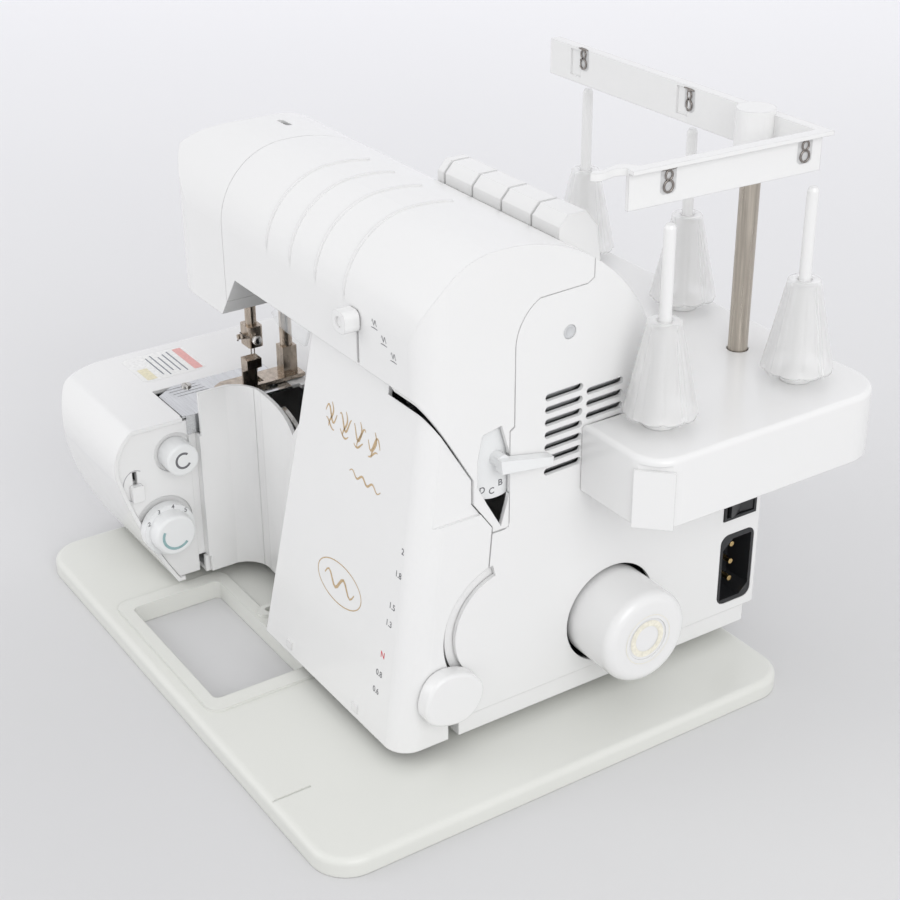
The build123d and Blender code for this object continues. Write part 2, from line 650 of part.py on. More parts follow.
with BuildPart() as face_cover:
    add(arm_skin)
    with BuildSketch(Plane.XY.offset(190)):
        with Locations(((face_seam - 180) / 2, 0)):
            Rectangle(180 + face_seam, 300)
    extrude(amount=200, mode=Mode.INTERSECT)
    with Locations((needle_x, needle_y, head_z), (needle_x, presser_y, head_z)):
        Cylinder(7, 20, mode=Mode.SUBTRACT)
    with BuildSketch(Plane.XY.offset(280)):               # long hole on top
        with Locations((-106, -5)):
            SlotOverall(13, 4.5)
    extrude(amount=40, mode=Mode.SUBTRACT)
    with Locations((-112, 36, 212)):                       # way out for the presser lifter
        Cylinder(4.5, 30, rotation=(90, 0, 0), mode=Mode.SUBTRACT)
keep(face_cover, "face_cover")

# ---------------------------------------------------------------- thread slit block and tension discs
slit_x = [-1, 27, 55, 83]
with BuildPart() as thread_slit_block:
    with BuildSketch(Plane.YZ.offset(-8)):
        with BuildLine():
            Polyline((40.5, 288), (46, 294), (58, 294), (66, 284), (72, 240), (40.5, 240), close=True)
        make_face()
        with BuildSketch(mode=Mode.PRIVATE) as grown:
            add(body_side.sketch_local)
            offset(amount=0.3)
        add(grown.sketch_local, mode=Mode.SUBTRACT)
    extrude(amount=116)
    with Locations(*[(x, 54, 292) for x in slit_x]):
        Box(2, 40, 28, mode=Mode.SUBTRACT)
keep(thread_slit_block, "thread_slit_block")

with BuildPart() as tension_discs:
    for x in slit_x:
        with Locations((x, 50, 247)):
            Cylinder(2.5, 14, rotation=(0, 90, 0))
        with Locations((x - 1.6, 50, 247), (x + 1.6, 50, 247)):
            Cylinder(11, 1.2, rotation=(0, 90, 0))
keep(tension_discs, "tension_discs")

# ---------------------------------------------------------------- spool stand behind and beside the column
with BuildSketch() as stand_plan:
    with BuildLine():
        Line((right_x + 0.6, 33), (right_x + 40, 33))
        TangentArc((right_x + 40, 33), (stand_x, 53), tangent=(1, 0))
        Line((stand_x, 53), (stand_x, stand_y - 26))
        TangentArc((stand_x, stand_y - 26), (stand_x - 26, stand_y), tangent=(0, 1))
        Line((stand_x - 26, stand_y), (-76, stand_y))
        TangentArc((-76, stand_y), (-92, stand_y - 16), tangent=(-1, 0))
        Polyline((-92, stand_y - 16), (-92, 86), (right_x + 0.6, 86), (right_x + 0.6, 33))
    make_face()
with BuildPart() as spool_stand:
    with BuildSketch(Plane.XY.offset(stand_z)):
        add(stand_plan.sketch_local)
    extrude(amount=stand_h)
    fillet(spool_stand.faces().sort_by(Axis.Z)[-1].edges(), 3)
    with BuildSketch(Plane.XY.offset(stand_z)):
        add(stand_plan.sketch_local)
        offset(amount=-wall, kind=Kind.INTERSECTION, mode=Mode.REPLACE)
    extrude(amount=stand_h - 3, mode=Mode.SUBTRACT)
    with Locations(*[(x, y, stand_z + 20) for x, y in pins]):
        Cylinder(3.5, 60, mode=Mode.SUBTRACT)
    with Locations((post_x, post_y, stand_z + 20)):
        Cylinder(6.4, 60, mode=Mode.SUBTRACT)
    with Locations((stand_x - 6, 39, stand_z + 17)):      # flat for the corner clip
        Box(25, 4, 38, rotation=(0, 0, 45), mode=Mode.SUBTRACT)
keep(spool_stand, "spool_stand")

with BuildPart() as corner_clip:
    with Locations((stand_x - 6.7, 39.7, stand_z + 16)):
        Box(22, 1.8, 34, rotation=(0, 0, 45))
keep(corner_clip, "corner_clip")

with BuildPart() as spool_stand_base:
    with BuildSketch(Plane.XY.offset(stand_z)):
        add(stand_plan.sketch_local)
        offset(amount=-wall - 0.2, kind=Kind.INTERSECTION, mode=Mode.REPLACE)
    extrude(amount=3)
    for x, y in pins:                                     # sockets of the spool pins
        with BuildSketch(Plane.XY.offset(stand_z)):
            with Locations((x, y)):
                Circle(6)
                Circle(3.4, mode=Mode.SUBTRACT)
        extrude(amount=stand_h - 8)
keep(spool_stand_base, "spool_stand_base")

with BuildPart() as spool_pins:
    for x, y in pins:
        with BuildSketch(Plane.XZ) as pin_half:
            with BuildLine():
                Polyline((0, 158), (3.3, 158), (3.3, 190.2), (9, 190.2), (9, 192))
                TangentArc((9, 192), (6.6, cone_low), tangent=(-0.5, 1))
                Polyline((6.6, cone_low), (3.6, cone_low), (3.2, pin_top - 2), (2.2, pin_top),
                         (0, pin_top), (0, 158))
            make_face()
        turned = revolve(axis=Axis.Z, mode=Mode.PRIVATE)
        add(Pos(x, y, 0) * turned)
keep(spool_pins, "spool_pins")

with BuildPart() as cone_holders:
    for x, y in pins:
        with BuildSketch(Plane.XZ) as cone_half:
            with BuildLine():
                Polyline((4.2, cone_low + 0.4), (19.5, cone_low + 0.4), (19.5, cone_low + 5),
                         (14.5, 226), (8.4, 243), (8.4, cone_top), (4.2, cone_top), close=True)
            make_face()
            with BuildLine():
                Polyline((4.6, cone_low), (18, cone_low), (13, 225), (7, 241.5), (7, 244), (4.6, 244), close=True)
            make_face(mode=Mode.SUBTRACT)
        turned = revolve(axis=Axis.Z, mode=Mode.PRIVATE)
        add(Pos(x, y, 0) * turned)
keep(cone_holders, "cone_holders")

with BuildPart() as guide_rod:
    with Locations((post_x, post_y, stand_z + 3)):
        Cylinder(4.5, 96, align=(Align.CENTER, Align.CENTER, Align.MIN))
keep(guide_rod, "guide_rod")

with BuildPart() as guide_post:
    with BuildSketch(Plane.XY.offset(stand_z + 36)):
        with Locations((post_x, post_y)):
            Circle(5.75)
            Circle(4.56, mode=Mode.SUBTRACT)
    extrude(amount=guide_low - stand_z - 36)
keep(guide_post, "guide_post")

with BuildPart() as guide_arm:
    with BuildSketch(Plane.XY.offset(guide_low)):
        with BuildLine():
            Polyline((-78, 171.6), (155.6, 171.6), (149.4, 50), (152.2, 49.6), (158.6, 174.6), (-78, 174.6),
                     close=True)
        make_face()
    extrude(amount=guide_top - guide_low)
    with BuildSketch(Plane.XY.offset(guide_top - 2.4)):   # top lip
        with BuildLine():
            Polyline((-78, 171.6), (155.6, 171.6), (149.4, 50), (156, 49), (163, 178.5), (-78, 178.5), close=True)
        make_face()
    extrude(amount=2.4)
    with Locations((post_x, post_y, guide_low)):          # hub on the post
        Cylinder(11, guide_top - guide_low + 3, align=(Align.CENTER, Align.CENTER, Align.MIN))
    with BuildSketch(Plane.XY.offset(guide_top - 4)):     # hooked front end
        with BuildLine():
            Spline((151, 50.5), (147.5, 44), (149, 34), (146, 30))
            Line((146, 30), (143.5, 33))
            Spline((143.5, 33), (144.6, 38), (142.6, 46), (150.5, 58))
            Line((150.5, 58), (151, 50.5))
        make_face()
    extrude(amount=4)
    with Locations((-52, 171, 320), (49, 171, 320)):      # pockets behind the eyelets
        Box(10, 3.4, 16, mode=Mode.SUBTRACT)
    with Locations((154.5, 162, 320), (150.6, 67, 320)):
        Box(3.6, 10, 16, mode=Mode.SUBTRACT)
keep(guide_arm, "guide_arm")

with BuildPart() as eyelet:                               # one loop with its stem
    Torus(3.2, 0.7, rotation=(90, 0, 0))
    with Locations((0, 0, 5.4)):
        Box(1.4, 1.4, 4.6)
with BuildPart() as guide_eyelets:
    for x, y, turn in ((-52, 170.6, 0), (49, 170.6, 0), (153.6, 162, 90), (149.2, 67, 90)):
        add(Pos(x, y, 320) * Rot(0, 0, turn) * eyelet.part)
keep(guide_eyelets, "guide_eyelets")

# ---------------------------------------------------------------- power inlet and switch
with BuildPart() as inlet_socket:
    with BuildSketch(Plane.YZ.offset(right_x - 22)):
        with Locations((153.5, 60)):
            RectangleRounded(25.6, 47.6, 5.8)
    extrude(amount=22)
    with BuildSketch(Plane.YZ.offset(right_x - 19)):
        with BuildLine():
            Polyline((142.5, 40), (142.5, 74), (150, 80.5), (164.3, 80.5), (164.3, 45), (158, 39), (142.5, 39),
                     (142.5, 40))
        make_face()
    extrude(amount=22, mode=Mode.SUBTRACT)
    for z in (48, 60, 72):
        with Locations((right_x - 20, 155, z)):
            Cylinder(1.7, 10, rotation=(0, 90, 0), mode=Mode.SUBTRACT)
keep(inlet_socket, "inlet_socket")

with BuildPart() as inlet_pins:
    for z in (48, 60, 72):
        with BuildSketch(Plane.YZ.offset(right_x - 26)):
            with Locations((155, z)):
                Circle(1.65)
        extrude(amount=20)
keep(inlet_pins, "inlet_pins")

with BuildPart() as switch_bezel:
    with BuildSketch(Plane.YZ.offset(right_x - 15)):
        with Locations((153.5, 102.4)):
            Rectangle(24.8, 15.8)
    extrude(amount=15.8)
    with BuildSketch(Plane.YZ.offset(right_x - 11)):
        with Locations((153.5, 102.4)):
            Rectangle(21.2, 12)
    extrude(amount=20, mode=Mode.SUBTRACT)
keep(switch_bezel, "switch_bezel")

with BuildPart() as power_rocker:
    with BuildSketch(Plane.XY.offset(97)):
        with BuildLine():
            Polyline((right_x - 8, 147), (right_x - 8, 160), (right_x - 1, 163), (right_x + 1.4, 163),
                     (right_x - 0.6, 153.5), (right_x + 1.4, 144), (right_x - 1, 144), close=True)
        make_face()
    extrude(amount=10.8)
power_rocker.part = Pos(right_x - 4, 153.5, 0) * Rot(0, 0, 7) * Pos(4 - right_x, -153.5, 0) * power_rocker.part
keep(power_rocker, "power_rocker")

# ---------------------------------------------------------------- drive
with BuildPart() as main_shaft:
    with BuildSketch(Plane.YZ.offset(-68)):
        with Locations((wheel_y, wheel_z)):
            Circle(5)
    extrude(amount=68 + 168)
    with BuildSketch(Plane.YZ.offset(-80)):               # crank web
        with Locations((wheel_y, wheel_z)):
            Circle(14)
        with Locations((wheel_y - 12, wheel_z)):
            Circle(9)
    extrude(amount=12)
keep(main_shaft, "main_shaft")

with BuildPart() as handwheel:
    with BuildSketch(Plane.YZ.offset(138)):
        with Locations((wheel_y, wheel_z)):
            Circle(wheel_r)
    extrude(amount=38)
    fillet(handwheel.faces().sort_by(Axis.X)[-1].edges(), 6)
    with Locations((176, wheel_y, wheel_z)):              # shallow dished face
        Cylinder(13, 1.6, rotation=(0, 90, 0), mode=Mode.SUBTRACT)
    with BuildSketch(Plane.YZ.offset(138)):
        with Locations((wheel_y, wheel_z)):
            Circle(wheel_r - 3)
            Circle(9, mode=Mode.SUBTRACT)
    extrude(amount=32, mode=Mode.SUBTRACT)
    with Locations((150, wheel_y, wheel_z)):
        Cylinder(5.02, 36.04, rotation=(0, 90, 0), mode=Mode.SUBTRACT)
keep(handwheel, "handwheel")

with BuildPart() as drive_pulley:
    with BuildSketch(Plane.YZ.offset(117)):
        with Locations((wheel_y, wheel_z)):
            Circle(28)
            Circle(5.02, mode=Mode.SUBTRACT)
            with PolarLocations(17, 5):
                Circle(5.5, mode=Mode.SUBTRACT)
    extrude(amount=12)
keep(drive_pulley, "drive_pulley")

with BuildPart() as motor_body:
    with BuildSketch(Plane.YZ.offset(28)):
        with Locations((motor_y, wheel_z)):
            Circle(26)
    extrude(amount=70)
    fillet(motor_body.edges().filter_by(GeomType.CIRCLE), 3)
    with Locations((60, motor_y, wheel_z)):
        Cylinder(3.05, 200, rotation=(0, 90, 0), mode=Mode.SUBTRACT)
keep(motor_body, "motor_body")

with BuildPart() as motor_bracket:
    with BuildSketch(Plane.YZ.offset(98)):
        with Locations((motor_y, 60)):
            RectangleRounded(44, 63, 4)
        with Locations((motor_y, wheel_z)):
            Circle(6, mode=Mode.SUBTRACT)
    extrude(amount=4)
    with BuildSketch(Plane.XY.offset(28.5)):
        with Locations((106, motor_y)):
            Rectangle(16, 44)
    extrude(amount=4)
keep(motor_bracket, "motor_bracket")

with BuildPart() as motor_pulley:
    with BuildSketch(Plane.YZ.offset(22)):
        with Locations((motor_y, wheel_z)):
            Circle(3)
    extrude(amount=107)
    with BuildSketch(Plane.YZ.offset(116.4)):
        with Locations((motor_y, wheel_z)):
            Circle(9)
    extrude(amount=13)
    with BuildSketch(Plane.YZ.offset(116.4)):
        with Locations((motor_y, wheel_z)):
            Circle(11.5)
    extrude(amount=1)
keep(motor_pulley, "motor_pulley")

with BuildPart() as drive_belt:
    with BuildSketch(Plane.YZ.offset(118)):
        with Locations((wheel_y, wheel_z)):
            Circle(30.2)
        with Locations((motor_y, wheel_z)):
            Circle(11.2)
        make_hull()
        with BuildSketch(mode=Mode.PRIVATE) as belt_inside:
            with Locations((wheel_y, wheel_z)):
                Circle(28.3)
            with Locations((motor_y, wheel_z)):
                Circle(9.3)
            make_hull()
        add(belt_inside.sketch_local, mode=Mode.SUBTRACT)
    extrude(amount=8)
keep(drive_belt, "drive_belt")

# ---------------------------------------------------------------- needle and presser drive
with BuildPart() as rock_shaft:
    with BuildSketch(Plane.YZ.offset(-142)):
        with Locations((20, 254)):
            Circle(4)
    extrude(amount=212)
    with BuildSketch(Plane.YZ.offset(-131)):              # lever towards the needle bar
        with Locations((20, 254)):
            Circle(8)
        with Locations((-6, 254)):
            Rectangle(56, 9)
    extrude(amount=5)
keep(rock_shaft, "rock_shaft")

with BuildPart() as needle_bar:
    with Locations((needle_x, needle_y, 172)):
        Cylinder(3.6, 112, align=(Align.CENTER, Align.CENTER, Align.MIN))
keep(needle_bar, "needle_bar")

with BuildPart() as needle_clamp:
    with BuildSketch(Plane.XY.offset(158)):
        with Locations((needle_x, needle_y)):
            RectangleRounded(13, 10, 2)
    extrude(amount=14)
    with Locations((needle_x - 2.6, needle_y - 6, 164), (needle_x + 2.6, needle_y - 6, 166)):
        Cylinder(1.6, 5, rotation=(90, 0, 0))
keep(needle_clamp, "needle_clamp")

with BuildPart() as needles:
    for x, tip in ((needle_x - 2.2, needle_tip), (needle_x + 2.2, needle_tip - 1.5)):
        with Locations((x, needle_y, tip + 3)):
            Cylinder(0.6, 155 - tip, align=(Align.CENTER, Align.CENTER, Align.MIN))
            Cone(0.1, 0.6, 3, align=(Align.CENTER, Align.CENTER, Align.MAX))
keep(needles, "needles")

with BuildPart() as presser_bar:
    with Locations((needle_x, presser_y, 152)):
        Cylinder(4, 132, align=(Align.CENTER, Align.CENTER, Align.MIN))
keep(presser_bar, "presser_bar")

with BuildPart() as presser_foot:
    with BuildSketch(Plane.XY.offset(131)):               # sole with needle gap
        with BuildLine():
            Polyline((-123, 0), (-105, 0), (-105, -52), (-109, -58), (-119, -58), (-123, -52), close=True)
        make_face()
        with Locations((needle_x, needle_y)):
            Rectangle(11, 8, mode=Mode.SUBTRACT)
    extrude(amount=2.4)
    with BuildSketch(Plane.XY.offset(131)):               # ankle
        with Locations((needle_x, presser_y)):
            Rectangle(9, 10)
    extrude(amount=21)
keep(presser_foot, "presser_foot")

with BuildPart() as presser_lifter:
    with BuildSketch(Plane.XZ.offset(-18.4)):             # pivot through the rear of the head
        with Locations((-112, 212)):
            Circle(4)
    extrude(amount=-30)
    with BuildSketch(Plane.XZ.offset(-40)):
        with BuildLine():
            Polyline((-112, 218), (-107, 212), (-112, 206), (-148, 196), (-151, 201), close=True)
        make_face()
    extrude(amount=-6)
keep(presser_lifter, "presser_lifter")

with BuildPart() as feed_dogs:
    with BuildSketch(Plane.XY.offset(112)):
        with Locations((needle_x, -36)):
            Rectangle(26, 24)
        with Locations((needle_x, needle_y)):             # the needles pass here
            Rectangle(12, 12.6, mode=Mode.SUBTRACT)
    extrude(amount=8)
    for x in (-124, -104):
        with BuildSketch(Plane.XY.offset(112)):
            with Locations((x, -36)):
                Rectangle(3.6, 20)
        extrude(amount=18.2)
        with Locations(*[(x, -44.5 + 2.4 * i, 130.4) for i in range(8)]):
            Box(3.6, 1.2, 0.8)
keep(feed_dogs, "feed_dogs")

with BuildPart() as upper_knife:
    with BuildSketch(Plane.XZ.offset(39)):
        with BuildLine():
            Polyline((-96.6, 128), (-95, 129), (-95, 150), (-88, 154), (-88, 160), (-96.6, 160), close=True)
        make_face()
    extrude(amount=10)
keep(upper_knife, "upper_knife")

# ---------------------------------------------------------------- loopers
with BuildPart() as upper_looper:
    with BuildSketch(Plane.YZ.offset(-74)):
        with Locations((-25, 84)):
            Circle(4)
    extrude(amount=34)
    with BuildSketch(Plane.YZ.offset(-74)):
        with Locations((-25, 84)):
            Circle(7)
        with Locations((-25, 98)):
            Rectangle(7, 28)
    extrude(amount=6)
    with BuildSketch(Plane.XZ.offset(23.5)):              # curved blade
        with BuildLine():
            Polyline((-68, 106), (-68, 113))
            ThreePointArc((-68, 113), (-80, 119), (-90, 121.5))
            Line((-90, 121.5), (-90, 120))
            ThreePointArc((-90, 120), (-80, 116), (-74, 106))
            Line((-74, 106), (-68, 106))
        make_face()
    extrude(amount=3)
keep(upper_looper, "upper_looper")

with BuildPart() as lower_looper:
    with BuildSketch(Plane.YZ.offset(-66)):
        with Locations((6, 62)):
            Circle(4)
    extrude(amount=26)
    with BuildSketch(Plane.YZ.offset(-66)):
        with Locations((6, 62)):
            Circle(7)
        with Locations((4, 80)):
            Rectangle(7, 36)
    extrude(amount=6)
    with BuildSketch(Plane.XZ.offset(-2.5)):
        with BuildLine():
            Polyline((-60, 92), (-60, 98))
            ThreePointArc((-60, 98), (-76, 102), (-92, 102))
            Line((-92, 102), (-92, 100.8))
            ThreePointArc((-92, 100.8), (-76, 98.6), (-66, 92))
            Line((-66, 92), (-60, 92))
        make_face()
    extrude(amount=3)
keep(lower_looper, "lower_looper")

# ---------------------------------------------------------------- controls
with BuildPart() as stitch_length_dial:
    with BuildSketch(Plane.YZ.offset(-95)):
        with Locations((dial_y, dial_z)):
            Circle(dial_r)
    extrude(amount=6.2)
    with BuildSketch(Plane.YZ.offset(-89.2)):
        with Locations((dial_y, dial_z)):
            Circle(dial_r - 3)
    extrude(amount=10, taper=4)
    fillet(stitch_length_dial.faces().sort_by(Axis.X)[-1].edges(), 2)
    with Locations((-105, dial_y, dial_z)):
        Cylinder(4, 22, rotation=(0, 90, 0))
    with Locations((-114, dial_y, dial_z)):
        Cylinder(7, 4, rotation=(0, 90, 0))
keep(stitch_length_dial, "stitch_length_dial")

with BuildPart() as stitch_width_knob:
    with BuildSketch(Plane.YZ.offset(-97.2)):
        with Locations((knob_y, knob_z)):
            Circle(knob_r)
    extrude(amount=14)
    fillet(stitch_width_knob.faces().sort_by(Axis.X)[-1].edges(), 1.6)
    with Locations((-106, knob_y, knob_z)):
        Cylinder(3, 20, rotation=(0, 90, 0))
    with Locations((-114, knob_y, knob_z)):
        Cylinder(5, 4, rotation=(0, 90, 0))
keep(stitch_width_knob, "stitch_width_knob")

with BuildPart() as finger_slider:
    with BuildSketch(Plane.YZ.offset(-105)):
        with Locations((-126, 88)):
            Rectangle(2.4, 8)
    extrude(amount=8.4)
    with BuildSketch(Plane.YZ.offset(-96.6)):
        with Locations((-126, 88)):
            RectangleRounded(8, 11, 1.5)
    extrude(amount=4)
    with BuildSketch(Plane.YZ.offset(-105)):
        with Locations((-126, 88)):
            Rectangle(6, 10)
    extrude(amount=3)
keep(finger_slider, "finger_slider")

lever_turn = 220
neck_y, neck_z = feed_y + feed_slot_r * cos(radians(lever_turn)), feed_z + feed_slot_r * sin(radians(lever_turn))
with BuildPart() as diff_feed_lever:
    with BuildSketch(Plane.YZ.offset(100)):               # pivot in the chassis wall
        with Locations((feed_y, feed_z)):
            Circle(4)
    extrude(amount=37)
    with BuildSketch(Plane.YZ.offset(132)):               # inner arm
        with Locations((feed_y, feed_z)):
            Circle(8)
        with Locations(((feed_y + neck_y) / 2, (feed_z + neck_z) / 2)):
            Rectangle(feed_slot_r, 7, rotation=lever_turn)
        with Locations((neck_y, neck_z)):
            Circle(3.5)
    extrude(amount=5)
    with Locations((right_x - 3, neck_y, neck_z)):        # neck through the slot
        Cylinder(2.6, 10, rotation=(0, 90, 0))
    with BuildSketch(Plane.YZ.offset(136.4)):             # shield that closes the slot from inside
        with Locations((feed_y, feed_z)):
            Circle(feed_slot_r + 1.5)
            Circle(feed_slot_r - 5, mode=Mode.SUBTRACT)
        with BuildLine():
            Polyline((feed_y, feed_z), (feed_y - 18, feed_z + 80), (feed_y - 80, feed_z + 80),
                     (feed_y - 80, feed_z - 80), (feed_y - 64, feed_z - 60), close=True)
        make_face(mode=Mode.INTERSECT)
    extrude(amount=2.5)
    with BuildSketch(Plane.YZ.offset(right_x + 0.8)):     # leaf-shaped grip
        with BuildLine():
            Spline((-73, 53), (-54.5, 68), (-36, 53), (-46, 36), (-60, 36), periodic=True)
        make_face()
    extrude(amount=9)
    fillet(diff_feed_lever.faces().sort_by(Axis.X)[-1].edges(), 2)
keep(diff_feed_lever, "diff_feed_lever")

with BuildPart() as stitch_selector:
    with BuildSketch(Plane.YZ.offset(100)):
        with Locations((sel_y, sel_z)):
            Circle(4)
    extrude(amount=34)
    with BuildSketch(Plane.YZ.offset(133)):
        with Locations((sel_y, sel_z)):
            Circle(sel_r)
    extrude(amount=5)
    with BuildSketch(Plane.YZ.offset(136)):               # pointer
        with Locations((sel_y, sel_z)):
            Circle(4)
    extrude(amount=9)
    with BuildSketch(Plane.YZ.offset(right_x + 0.8)):
        with BuildLine():
            Polyline((sel_y - 4, sel_z + 3), (sel_y - 3, sel_z - 5), (9, 175), (10, 180), close=True)
        make_face()
    extrude(amount=6)
keep(stitch_selector, "stitch_selector")

with BuildPart() as mode_lever:
    with BuildSketch(Plane.XY.offset(248)):
        with Locations((78.5, arm_front + 2)):
            Rectangle(1.8, 12)
    extrude(amount=7)
    with BuildSketch(Plane.XZ.offset(66.6)):
        with Locations((76, 251.5)):
            RectangleRounded(13, 12, 4)
    extrude(amount=9)
    with Locations((76, -75.6, 251.5)):
        Cylinder(3, 2, rotation=(90, 0, 0), mode=Mode.SUBTRACT)
    with BuildSketch(Plane.XY.offset(248)):
        with Locations((78.5, arm_front + 5.6)):
            Rectangle(7, 4)
    extrude(amount=7)
keep(mode_lever, "mode_lever")

# ---------------------------------------------------------------- eye guard, lamp
with BuildPart() as eye_guard:
    with Locations((-6, -56, 222)):
        Cylinder(1.6, 33, rotation=(0, 90, 0))
    with BuildSketch(Plane.XZ.offset(55)):
        with BuildLine():
            Polyline((-36, 213), (-23, 223.4), (10.5, 222), (3, 206), (-28, 207.5), close=True)
        make_face()
    extrude(amount=2)
keep(eye_guard, "eye_guard")

with BuildPart() as lamp:
    with BuildSketch(Plane.XY.offset(arm_z - 5)):
        with Locations((-22, -26)):
            RectangleRounded(34, 18, 4)
    extrude(amount=5)
keep(lamp, "lamp")
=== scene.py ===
from math import cos, hypot, pi, radians, sin

import bmesh
import bpy
from mathutils import Matrix, Vector
from mathutils.bvhtree import BVHTree


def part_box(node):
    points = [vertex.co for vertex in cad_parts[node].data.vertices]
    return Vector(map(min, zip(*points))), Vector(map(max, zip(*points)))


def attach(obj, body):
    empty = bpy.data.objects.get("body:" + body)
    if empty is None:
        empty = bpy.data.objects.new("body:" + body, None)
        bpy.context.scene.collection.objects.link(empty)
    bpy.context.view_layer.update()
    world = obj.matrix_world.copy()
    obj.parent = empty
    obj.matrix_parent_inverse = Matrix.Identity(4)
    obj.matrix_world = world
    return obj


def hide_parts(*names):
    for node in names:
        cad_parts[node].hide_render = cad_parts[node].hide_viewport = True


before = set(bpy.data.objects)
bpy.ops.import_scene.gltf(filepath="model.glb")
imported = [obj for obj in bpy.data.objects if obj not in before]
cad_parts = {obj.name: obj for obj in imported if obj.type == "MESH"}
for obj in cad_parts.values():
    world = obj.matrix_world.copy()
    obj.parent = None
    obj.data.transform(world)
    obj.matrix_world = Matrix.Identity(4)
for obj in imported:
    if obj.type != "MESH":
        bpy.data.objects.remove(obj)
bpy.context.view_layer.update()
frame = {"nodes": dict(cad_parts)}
nodes = frame["nodes"]
scene = bpy.context.scene

# Places on the machine, in millimetres in the row frame.
MM = 0.001
spool_pins_at = [(165, 67), (164, 166), (49, 181), (-52, 182)]
cone_foot, cone_shoulder, cone_top = 197.4, 247, 250
wheel_at = (58, 62.3)                      # Y, Z of the handwheel axis
dial_at, dial_number_r = (-109.4, 59.9), 15.5
knob_at = (-98.8, 107.8)
side_hole_at = (142, 23.3, 245.5)
vent_tops, vent_count, vent_pitch = [(20.8, 211.8), (47.8, 208.4)], 7, 7.3
label_at = (-174.5, -67.5)                 # X, Y of the bed label
in_front, beside, above = -100, 190, 150   # where the rays for prints start


# ------------------------------------------------------------------ camera
def make_camera():
    az, el, roll = radians(56.7265), radians(27.665), radians(-0.411)
    right = Vector((cos(az), sin(az), 0))
    look = Vector((-sin(az) * cos(el), cos(az) * cos(el), -sin(el)))
    up = right.cross(look)
    right = right * cos(roll) + up * sin(roll)
    up = right.cross(look)
    data = bpy.data.cameras.new("camera")
    data.lens, data.sensor_width = 68.42, 36
    data.clip_start, data.clip_end = 0.02, 30
    ob = bpy.data.objects.new("camera", data)
    scene.collection.objects.link(ob)
    turn = Matrix((right, up, -look)).transposed().to_4x4()
    ob.matrix_world = Matrix.Translation((0.78168, -0.47071, 0.600)) @ turn
    scene.camera = ob


make_camera()


# ------------------------------------------------------------------ light and stage
def make_light():
    world = bpy.data.worlds.new("studio")
    scene.world = world
    world.use_nodes = True
    back = world.node_tree.nodes["Background"]
    back.inputs["Color"].default_value = (0.985, 0.985, 1.0, 1)
    back.inputs["Strength"].default_value = 0.84
    for name, place, aim, size, power in (
            ("key", (1.8, -0.3, 1.15), (0, 0, 0.14), 1.2, 12),
            ("fill", (-1.0, -1.8, 1.0), (0, 0, 0.12), 1.4, 8),
            ("back", (-0.5, 1.6, 1.7), (0, 0, 0.15), 1.2, 2.5)):
        data = bpy.data.lights.new(name, "AREA")
        data.shape, data.size, data.energy = "SQUARE", size, power
        ob = bpy.data.objects.new(name, data)
        scene.collection.objects.link(ob)
        ob.location = place
        ob.rotation_mode = "QUATERNION"
        ob.rotation_quaternion = (Vector(aim) - Vector(place)).to_track_quat("-Z", "Y")


make_light()
scene.view_settings.view_transform = "Standard"


# ------------------------------------------------------------------ materials
def node_input(shader, name, value):
    shader.inputs[name].default_value = value


class Look:
    """A Principled material with a few procedural layers."""

    def __init__(self, name, color, rough, metal=0.0):
        self.m = bpy.data.materials.new(name)
        self.m.use_nodes = True
        self.t = self.m.node_tree
        self.b = self.t.nodes["Principled BSDF"]
        node_input(self.b, "Base Color", (*color, 1))
        node_input(self.b, "Roughness", rough)
        node_input(self.b, "Metallic", metal)
        self.rough, self.color, self.normal = rough, color, None
        self.where = self.t.nodes.new("ShaderNodeTexCoord").outputs["Object"]

    def new(self, kind, **inputs):
        n = self.t.nodes.new(kind)
        for k, v in inputs.items():
            socket = n.inputs[k.replace("_", " ")]
            if isinstance(v, bpy.types.NodeSocket):
                self.t.links.new(v, socket)
            else:
                socket.default_value = v
        return n

    def noise(self, scale, detail=2.0, stretch=None, rough=0.5):
        where = self.where
        if stretch:
            m = self.new("ShaderNodeMapping", Vector=where)
            m.inputs["Scale"].default_value = stretch
            where = m.outputs["Vector"]
        n = self.new("ShaderNodeTexNoise", Vector=where, Scale=scale, Detail=detail, Roughness=rough)
        return n.outputs["Fac"]

    def ramp(self, fac, low, high, out_low, out_high):
        n = self.new("ShaderNodeMapRange", Value=fac, From_Min=low, From_Max=high,
                     To_Min=out_low, To_Max=out_high)
        return n.outputs["Result"]

    def vary_color(self, fac, other, low=0.35, high=0.7, share=1.0):
        mix = self.t.nodes.new("ShaderNodeMix")
        mix.data_type = "RGBA"
        self.t.links.new(self.ramp(fac, low, high, 0, share), mix.inputs["Factor"])
        old = self.b.inputs["Base Color"].links
        if old:
            self.t.links.new(old[0].from_socket, mix.inputs[6])
        else:
            mix.inputs[6].default_value = (*self.color, 1)
        mix.inputs[7].default_value = (*other, 1)
        self.t.links.new(mix.outputs[2], self.b.inputs["Base Color"])

    def vary_rough(self, fac, low, high):
        self.t.links.new(self.ramp(fac, 0.3, 0.7, low, high), self.b.inputs["Roughness"])

    def bump(self, fac, distance, strength=1.0):
        n = self.new("ShaderNodeBump", Height=fac, Distance=distance, Strength=strength)
        if self.normal:
            self.t.links.new(self.normal, n.inputs["Normal"])
        self.normal = n.outputs["Normal"]
        self.t.links.new(self.normal, self.b.inputs["Normal"])

    def soft_edges(self, radius):
        n = self.t.nodes.new("ShaderNodeBevel")
        n.samples = 4
        n.inputs["Radius"].default_value = radius
        self.normal = n.outputs["Normal"]
        self.t.links.new(self.normal, self.b.inputs["Normal"])


